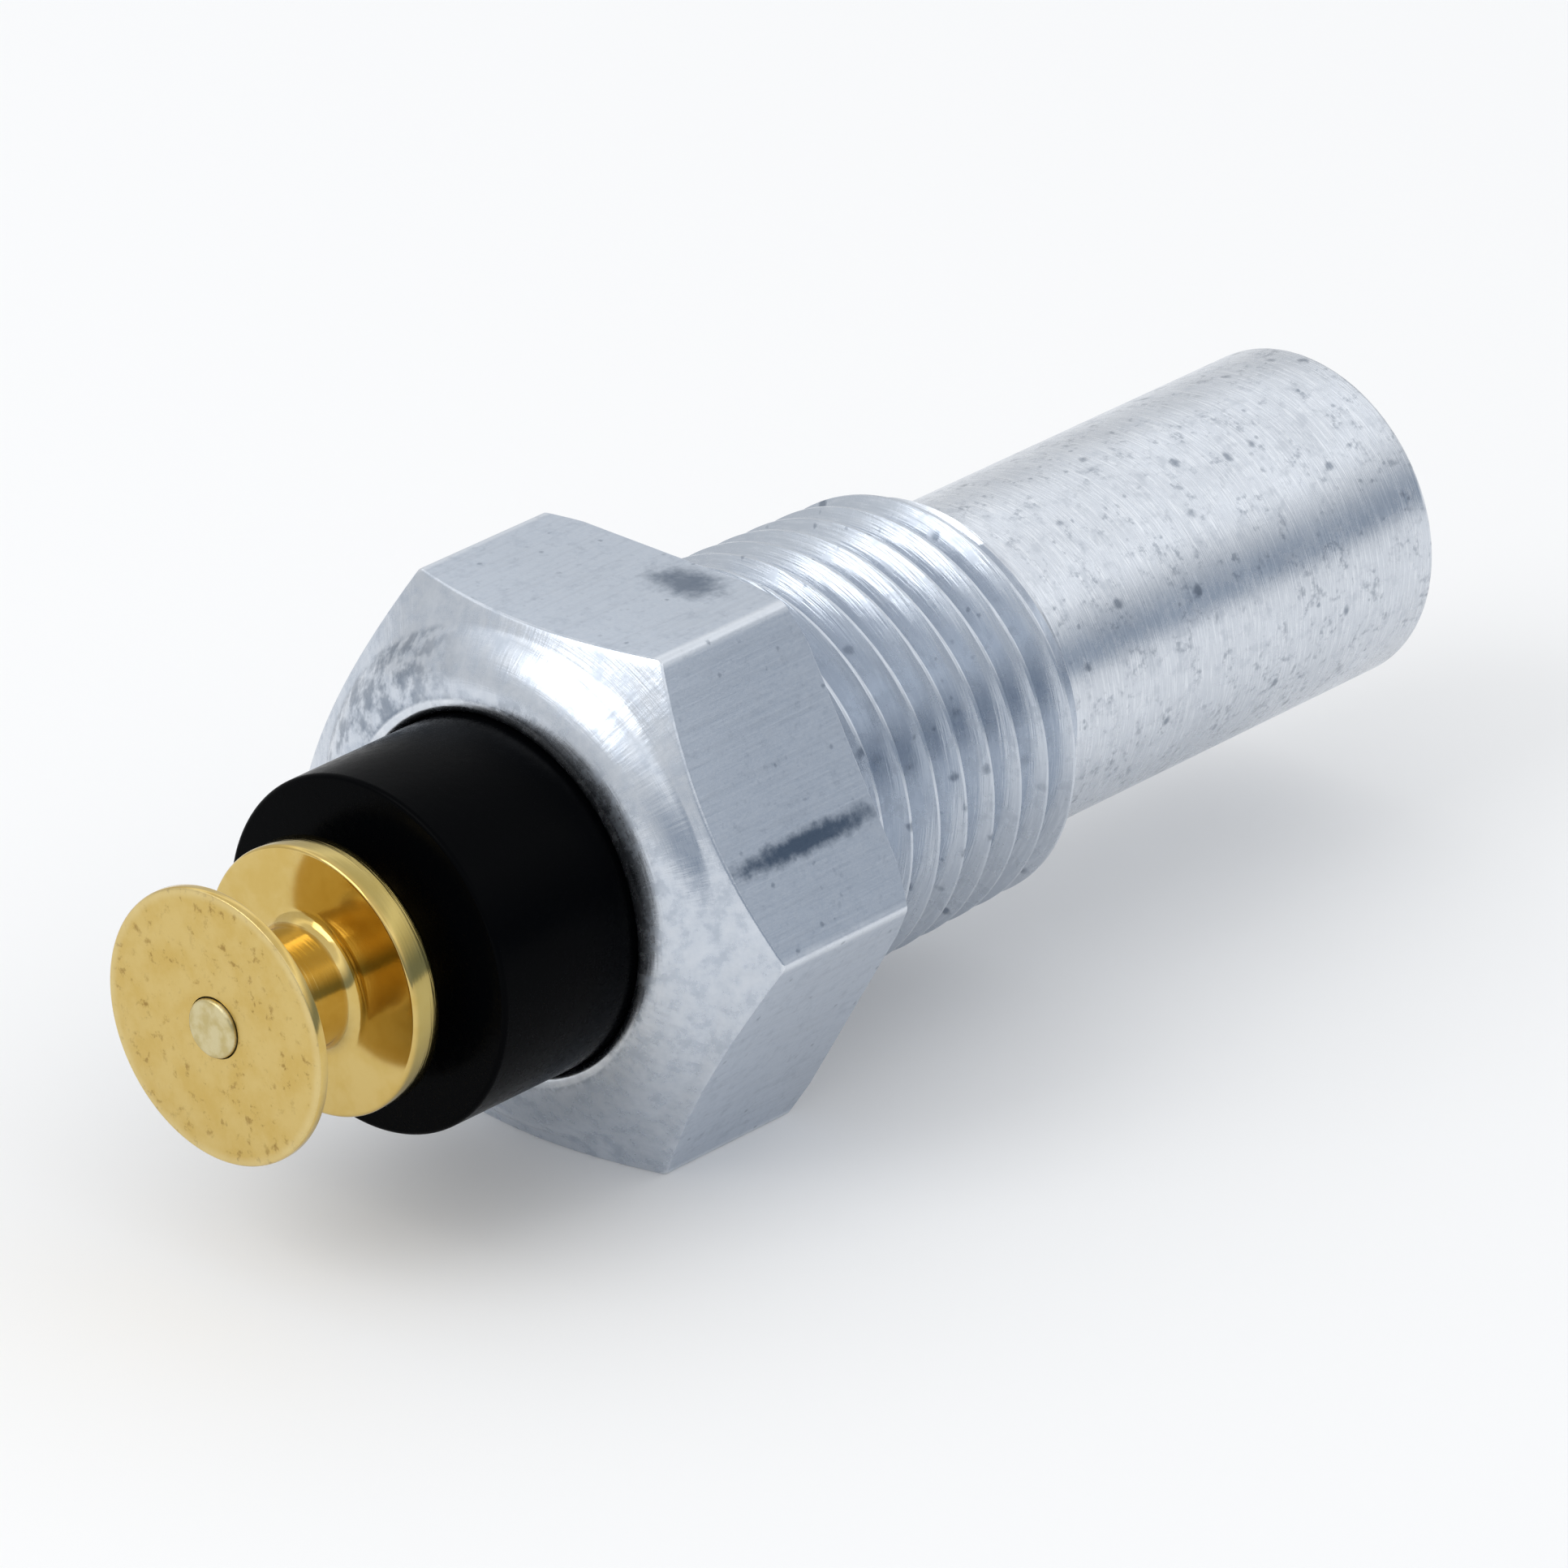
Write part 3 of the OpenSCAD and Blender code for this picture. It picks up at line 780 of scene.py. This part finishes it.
# %% Brass
BRASS = (0.66, 0.49, 0.18)


def make_brass(name, color, roughness):
    f = Finish(name, color, 1, roughness)
    m = f.math
    face = f.step(f.x, FRONT_FACE + 0.02, FRONT_FACE + 0.06, 1, 0)
    speck = f.noise(f.mm, 2.3, 4, 0.65)
    cloud = f.noise(f.mm, 0.7, 4, 0.6, None, 2)
    rings = f.noise(f.mm, 1, 2, 0.6, (12, 0.4, 0.4), 3)
    fleck = m("MULTIPLY", f.step(speck, 0.55, 0.7), f.step(cloud, 0.38, 0.6, 0.25, 1))
    tarnish = m("MULTIPLY", m("MAXIMUM", fleck, f.dots(1.1, 0.2, 0.35, 1)), face)
    color = f.mix(f.step(cloud, 0.35, 0.7), color, tuple(v * w for v, w in zip(color, (0.93, 0.88, 0.72))))
    color = f.mix(m("MULTIPLY", tarnish, 0.75), color, (0.28, 0.16, 0.04))
    rim = m("MULTIPLY", face, f.step(f.r, FRONT_R - 0.45, FRONT_R - 0.15))
    color = f.mix(m("MULTIPLY", rim, 0.25), color, (0.84, 0.74, 0.44))
    edge = m("MULTIPLY", f.step(f.r, REAR_R - 0.06, REAR_R - 0.02), f.step(f.x, REAR_FACE, REAR_FACE + 0.3))
    color = f.mix(m("MULTIPLY", edge, 0.6), color, (0.36, 0.30, 0.10))
    f.set(Base_Color=color)
    f.set(Roughness=m("ADD", roughness, m("MULTIPLY", face, m("ADD", 0.16, m("MULTIPLY", cloud, 0.12)))))
    f.bump(m("ADD", m("MULTIPLY", rings, 0.4), m("MULTIPLY", speck, m("MULTIPLY", face, 1.4))), 0.012)
    return f


dress(terminal, make_brass("polished_brass", BRASS, 0.12), "polished_brass", "spool_terminal")

# %% [markdown]
# The rivet is tinned, so it is paler and greyer than the brass round it, with a filed face.

# %% Tinned rivet
def make_tin():
    f = Finish("tinned_metal", (0.72, 0.66, 0.48), 1, 0.35)
    cloud = f.noise(f.mm, 2, 4)
    filed = f.noise(f.mm, 1, 2, 0.6, (0.5, 8, 1), 1)
    f.set(Base_Color=f.mix(f.step(cloud, 0.35, 0.65), (0.54, 0.44, 0.20), (0.66, 0.58, 0.34)))
    f.set(Roughness=f.step(cloud, 0.3, 0.7, 0.3, 0.45))
    f.bump(filed, 0.015)
    return f


dress(rivet, make_tin(), "tinned_metal", "terminal_rivet")

# %% [markdown]
# The pieces inside can't be seen from outside, but anyone who takes the model apart meets them.
# Each gets a simple finish of its own: rubber, brass, plastic, spring wire and ceramic.

# %% Inner finishes
def make_simple(name, color, metallic, roughness, scale, spread):
    """A plain finish with a soft variation in tone and sheen."""
    f = Finish(name, color, metallic, roughness)
    cloud = f.noise(f.mm, scale, 3)
    darker = tuple(v * (1 - spread) for v in color)
    f.set(Base_Color=f.mix(f.step(cloud, 0.3, 0.7), darker, color))
    f.set(Roughness=f.step(cloud, 0.3, 0.7, roughness - 0.05, roughness + 0.05))
    f.bump(cloud, 0.01)
    return f


INNER = {
    "sealing_ring": ("seal_rubber", (0.02, 0.02, 0.022), 0, 0.6, 1.5, 0.2),
    "contact_washer": ("contact_brass", (0.78, 0.56, 0.24), 1, 0.25, 1.2, 0.1),
    "insulating_sleeve": ("sleeve_plastic", (0.68, 0.60, 0.42), 0, 0.45, 0.8, 0.08),
    "contact_spring": ("spring_steel", (0.55, 0.56, 0.58), 1, 0.28, 2, 0.1),
    "contact_cap": ("contact_brass", (0.78, 0.56, 0.24), 1, 0.25, 1.2, 0.1),
    "sensing_disc": ("sensor_ceramic", (0.06, 0.06, 0.065), 0, 0.55, 2, 0.2),
}
inner_finishes = {}
for node_name, values in INNER.items():
    if values[0] not in inner_finishes:
        inner_finishes[values[0]] = make_simple(*values)
    dress(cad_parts[node_name], inner_finishes[values[0]], values[0])
print("inner finishes", sorted(inner_finishes))

# %% [markdown]
# A pale floor and a plain studio round it.
# The floor touches the hexagon's lower flat and keeps its soft shadow.
# The world is a simple gradient: bright overhead and darker towards the horizon, which draws the dark bands on metal.

# %% Floor and world
FLOOR_GLOW = 0.08


def make_floor():
    mesh = plain_mesh("floor", [(-3, -3, 0), (3, -3, 0), (3, 3, 0), (-3, 3, 0)], [(0, 1, 2, 3)])
    floor = bpy.data.objects.new("floor", mesh)
    floor.location.z = cad_low[2]
    scene.collection.objects.link(floor)
    finish = Finish("floor", (0.86, 0.86, 0.86), 0, 0.8)
    finish.set(Specular_IOR_Level=0.1, Emission_Color=(1, 1, 1, 1))
    path = finish.node("ShaderNodeLightPath").outputs
    seen = finish.math("ADD", path["Is Camera Ray"], path["Is Glossy Ray"])
    seen = finish.math("ADD", seen, path["Is Transmission Ray"], clamp=True)
    finish.set(Emission_Strength=finish.math("MULTIPLY", seen, FLOOR_GLOW))
    floor.data.materials.append(finish.material)


def make_world():
    world = bpy.data.worlds.new("studio")
    scene.world = world
    world.use_nodes = True
    t = Tree(world.node_tree)
    back = world.node_tree.nodes["Background"]
    split = t.node("ShaderNodeSeparateXYZ")
    t.put(t.node("ShaderNodeTexCoord").outputs["Generated"], split.inputs[0])
    height = t.step(split.outputs["Z"], -1, 1)
    height.node.interpolation_type = "LINEAR"
    ramp = t.node("ShaderNodeValToRGB")
    stops = ramp.color_ramp.elements
    stops[0].position, stops[0].color = 0.0, (0.7, 0.7, 0.7, 1)
    stops[1].position, stops[1].color = 1.0, (0.85, 0.86, 0.88, 1)
    for height_share, value in ((0.0, 0.74), (0.32, 0.76), (0.45, 0.84), (0.64, 1.3), (0.76, 0.92)):
        stop = stops.new(height_share / 2 + 0.5)
        stop.color = (value * 0.98, value * 0.99, value, 1)
    t.put(height, ramp.inputs[0])
    band = t.math("MULTIPLY", t.step(split.outputs["Z"], -0.04, 0.06), t.step(split.outputs["Z"], 0.16, 0.5, 1, 0))
    band = t.math("MULTIPLY", band, t.step(split.outputs["Y"], -0.55, -0.1, 1, 0))
    shade = t.node("ShaderNodeMix", data_type="RGBA", blend_type="MULTIPLY")
    t.put(band, shade.inputs[0])
    t.put(ramp.outputs[0], shade.inputs[6])
    t.put((0.38, 0.45, 0.55, 1), shade.inputs[7])
    t.put(shade.outputs[2], back.inputs["Color"])
    back.inputs["Strength"].default_value = 1


make_floor()
make_world()

# %% [markdown]
# One soft lamp stands high on the terminal's side, behind the part.
# It lays the bright arc on the rolled crown and gives the shadow its direction. It is wide, so the shadow stays soft.

# %% Lamps
def softbox(name, azimuth, elevation, distance, size, power):
    data = bpy.data.lights.new(name, "AREA")
    data.shape = "SQUARE"
    data.size = size
    data.energy = power
    lamp = bpy.data.objects.new(name, data)
    back = direction(azimuth, elevation)
    lamp.matrix_world = Matrix.Translation(back * distance) @ back.to_track_quat("Z", "Y").to_matrix().to_4x4()
    scene.collection.objects.link(lamp)
    print(name, "at", [round(v, 3) for v in lamp.location])


softbox("overhead", -107, 41, 0.6, 0.34, 0.75)
